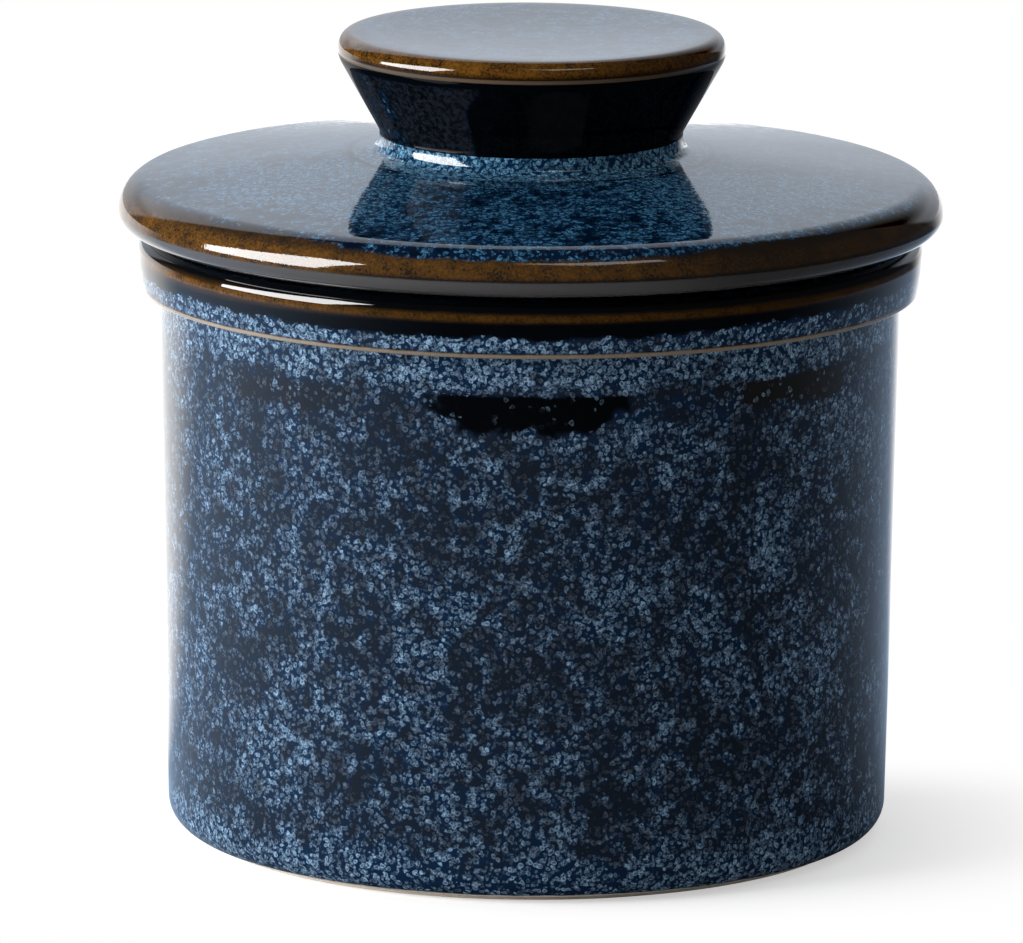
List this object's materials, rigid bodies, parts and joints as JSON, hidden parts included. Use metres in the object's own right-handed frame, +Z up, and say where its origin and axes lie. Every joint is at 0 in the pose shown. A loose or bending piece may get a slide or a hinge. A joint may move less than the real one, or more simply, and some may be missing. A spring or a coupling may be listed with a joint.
{
  "type": "lidded ceramic jar",
  "caption": "Glazed stoneware jar with a lift-off lid. A bell under the lid holds butter above water, and the wide knob is its foot when turned over.",
  "frame": {"origin": "middle of the crock's foot ring, on the surface that the jar stands on", "axes": "+Z up along the axis of the jar, -Y towards the picture's camera"},
  "size_m": [0.1142, 0.1142, 0.1118],
  "materials": {
    "crock_glaze": "gloss reactive glaze, pale blue crystals on navy, bare clay foot ring",
    "lid_glaze": "gloss reactive glaze breaking to amber brown on the rolled edge",
    "knob_glaze": "gloss reactive glaze breaking to amber brown on the rim",
    "bell_glaze": "gloss glaze with a bare clay lip"
  },
  "bodies": {
    "crock": {"crock_pot": "crock_glaze"},
    "lid": {"lid_plate": "lid_glaze", "lid_knob": "knob_glaze", "butter_bell": "bell_glaze"}
  },
  "joints": [
    {"name": "lid_lift", "type": "slide", "parent": "crock", "child": "lid", "axis": [0, 0, 1], "range_m": [0, 0.075]}
  ]
}
